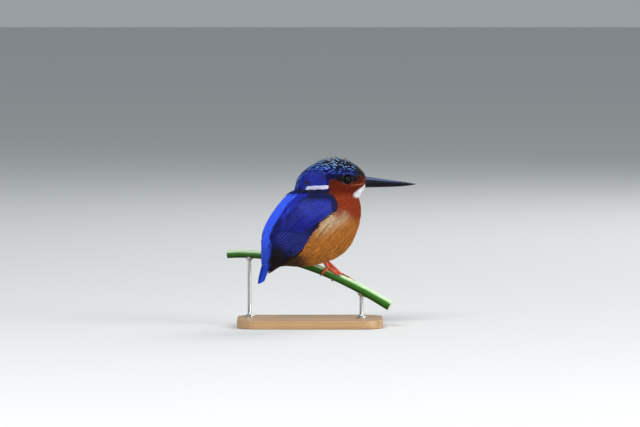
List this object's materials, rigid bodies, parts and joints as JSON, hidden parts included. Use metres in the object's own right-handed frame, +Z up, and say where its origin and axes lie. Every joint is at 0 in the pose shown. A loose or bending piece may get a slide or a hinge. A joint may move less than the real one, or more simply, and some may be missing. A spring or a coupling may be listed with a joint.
{
  "type": "malagasy kingfisher model",
  "caption": "Life-size still model of a small blue and rufous kingfisher perched on a cut green stem, held above a flat wooden base by two short rods.",
  "frame": {"origin": "middle of the stand base's underside", "axes": "+Z up; +X where the bill points, along the base's length; +Y to the bird's left"},
  "size_m": [0.1326, 0.062, 0.1177],
  "materials": {
    "crown_feathers": "black feathers barred with pale blue, blue at the sides",
    "breast_feathers": "soft rufous feathers",
    "belly_feathers": "soft buff-orange feathers, cobalt blue along the back",
    "covert_feathers": "firm deep blue feathers",
    "flight_feathers": "firm blue-black feathers with blue edges",
    "bill_horn": "satin black horn",
    "eye": "glossy dark brown",
    "leg_skin": "orange-red scaled skin",
    "claw_horn": "satin dark horn",
    "green_stem": "smooth green sedge stem, pale where cut",
    "stand_wood": "satin oiled wood",
    "stand_steel": "brushed"
  },
  "bodies": {
    "root": {"head": "crown_feathers", "neck": "breast_feathers", "trunk": "belly_feathers", "tail": "flight_feathers", "wing_left": "covert_feathers", "wing_right": "covert_feathers", "flight_feathers_left": "flight_feathers", "flight_feathers_right": "flight_feathers", "bill_upper": "bill_horn", "bill_lower": "bill_horn", "eye_left": "eye", "eye_right": "eye", "leg_left": "leg_skin", "leg_right": "leg_skin", "claw_left_1": "claw_horn", "claw_left_2": "claw_horn", "claw_left_3": "claw_horn", "claw_left_4": "claw_horn", "claw_right_1": "claw_horn", "claw_right_2": "claw_horn", "claw_right_3": "claw_horn", "claw_right_4": "claw_horn", "perch": "green_stem", "stand_base": "stand_wood", "stand_rod_left": "stand_steel", "stand_rod_right": "stand_steel"}
  },
  "joints": []
}
